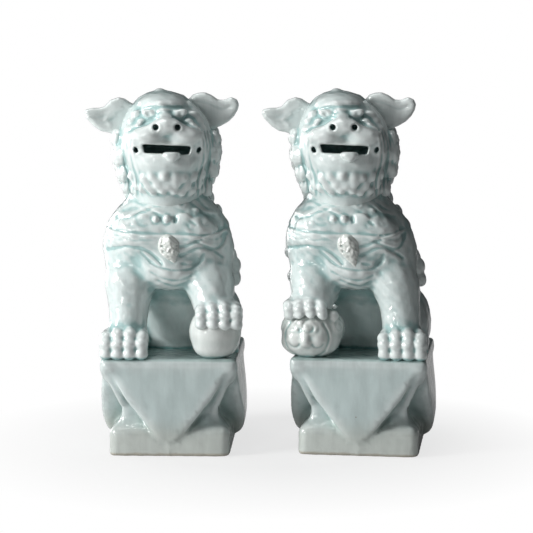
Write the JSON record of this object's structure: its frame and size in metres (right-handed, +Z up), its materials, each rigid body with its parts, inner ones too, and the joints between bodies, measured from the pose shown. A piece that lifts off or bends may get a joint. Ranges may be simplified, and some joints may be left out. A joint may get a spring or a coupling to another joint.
{
  "type": "pair of guardian lions",
  "caption": "Pair of seated guardian lions in pale celadon-glazed porcelain on draped plinths, one with a forepaw on a ball, the other on a cub; pierced mouths, floppy ears.",
  "frame": {"origin": "on the shelf, midway between the middles of the two plinths, which is the middle of the pair's footprint to within a few millimetres", "axes": "+X from the ball lion to the cub lion, -Y the way both lions face, +Z up"},
  "size_m": [0.3282, 0.1679, 0.33],
  "materials": {
    "lion_glaze": "gloss",
    "plinth_glaze": "gloss",
    "ball_and_cub_glaze": "gloss",
    "harness_glaze": "gloss"
  },
  "bodies": {
    "ball_lion": {"ball_lion_plinth_left_half": "plinth_glaze", "ball_lion_plinth_right_half": "plinth_glaze", "ball_lion_plinth_deck": "plinth_glaze", "ball_lion_torso": "lion_glaze", "ball_lion_left_haunch": "lion_glaze", "ball_lion_right_haunch": "lion_glaze", "ball_lion_left_hind_paw": "lion_glaze", "ball_lion_right_hind_paw": "lion_glaze", "ball_lion_standing_foreleg": "lion_glaze", "ball_lion_raised_foreleg": "lion_glaze", "ball_lion_standing_forepaw": "lion_glaze", "ball_lion_raised_forepaw": "lion_glaze", "ball_lion_head": "lion_glaze", "ball_lion_tongue": "lion_glaze", "ball_lion_left_ear": "lion_glaze", "ball_lion_right_ear": "lion_glaze", "ball_lion_brows": "lion_glaze", "ball_lion_eyes": "lion_glaze", "ball_lion_beard": "lion_glaze", "ball_lion_left_mane": "lion_glaze", "ball_lion_right_mane": "lion_glaze", "ball_lion_back_mane": "lion_glaze", "ball_lion_collar": "harness_glaze", "ball_lion_collar_studs": "harness_glaze", "ball_lion_girth": "harness_glaze", "ball_lion_tassel": "harness_glaze", "ball_lion_elbow_tufts": "lion_glaze", "ball_lion_tail": "lion_glaze", "ball_lion_ball": "ball_and_cub_glaze"},
    "cub_lion": {"cub_lion_plinth_left_half": "plinth_glaze", "cub_lion_plinth_right_half": "plinth_glaze", "cub_lion_plinth_deck": "plinth_glaze", "cub_lion_torso": "lion_glaze", "cub_lion_left_haunch": "lion_glaze", "cub_lion_right_haunch": "lion_glaze", "cub_lion_left_hind_paw": "lion_glaze", "cub_lion_right_hind_paw": "lion_glaze", "cub_lion_standing_foreleg": "lion_glaze", "cub_lion_raised_foreleg": "lion_glaze", "cub_lion_standing_forepaw": "lion_glaze", "cub_lion_raised_forepaw": "lion_glaze", "cub_lion_head": "lion_glaze", "cub_lion_tongue": "lion_glaze", "cub_lion_left_ear": "lion_glaze", "cub_lion_right_ear": "lion_glaze", "cub_lion_brows": "lion_glaze", "cub_lion_eyes": "lion_glaze", "cub_lion_beard": "lion_glaze", "cub_lion_left_mane": "lion_glaze", "cub_lion_right_mane": "lion_glaze", "cub_lion_back_mane": "lion_glaze", "cub_lion_collar": "harness_glaze", "cub_lion_collar_studs": "harness_glaze", "cub_lion_girth": "harness_glaze", "cub_lion_tassel": "harness_glaze", "cub_lion_elbow_tufts": "lion_glaze", "cub_lion_tail": "lion_glaze", "cub_lion_cub": "ball_and_cub_glaze"}
  },
  "joints": [
    {"name": "pair_spacing", "type": "slide", "parent": "ball_lion", "child": "cub_lion", "axis": [1, 0, 0], "range_m": [-0.015, 0.25]}
  ]
}
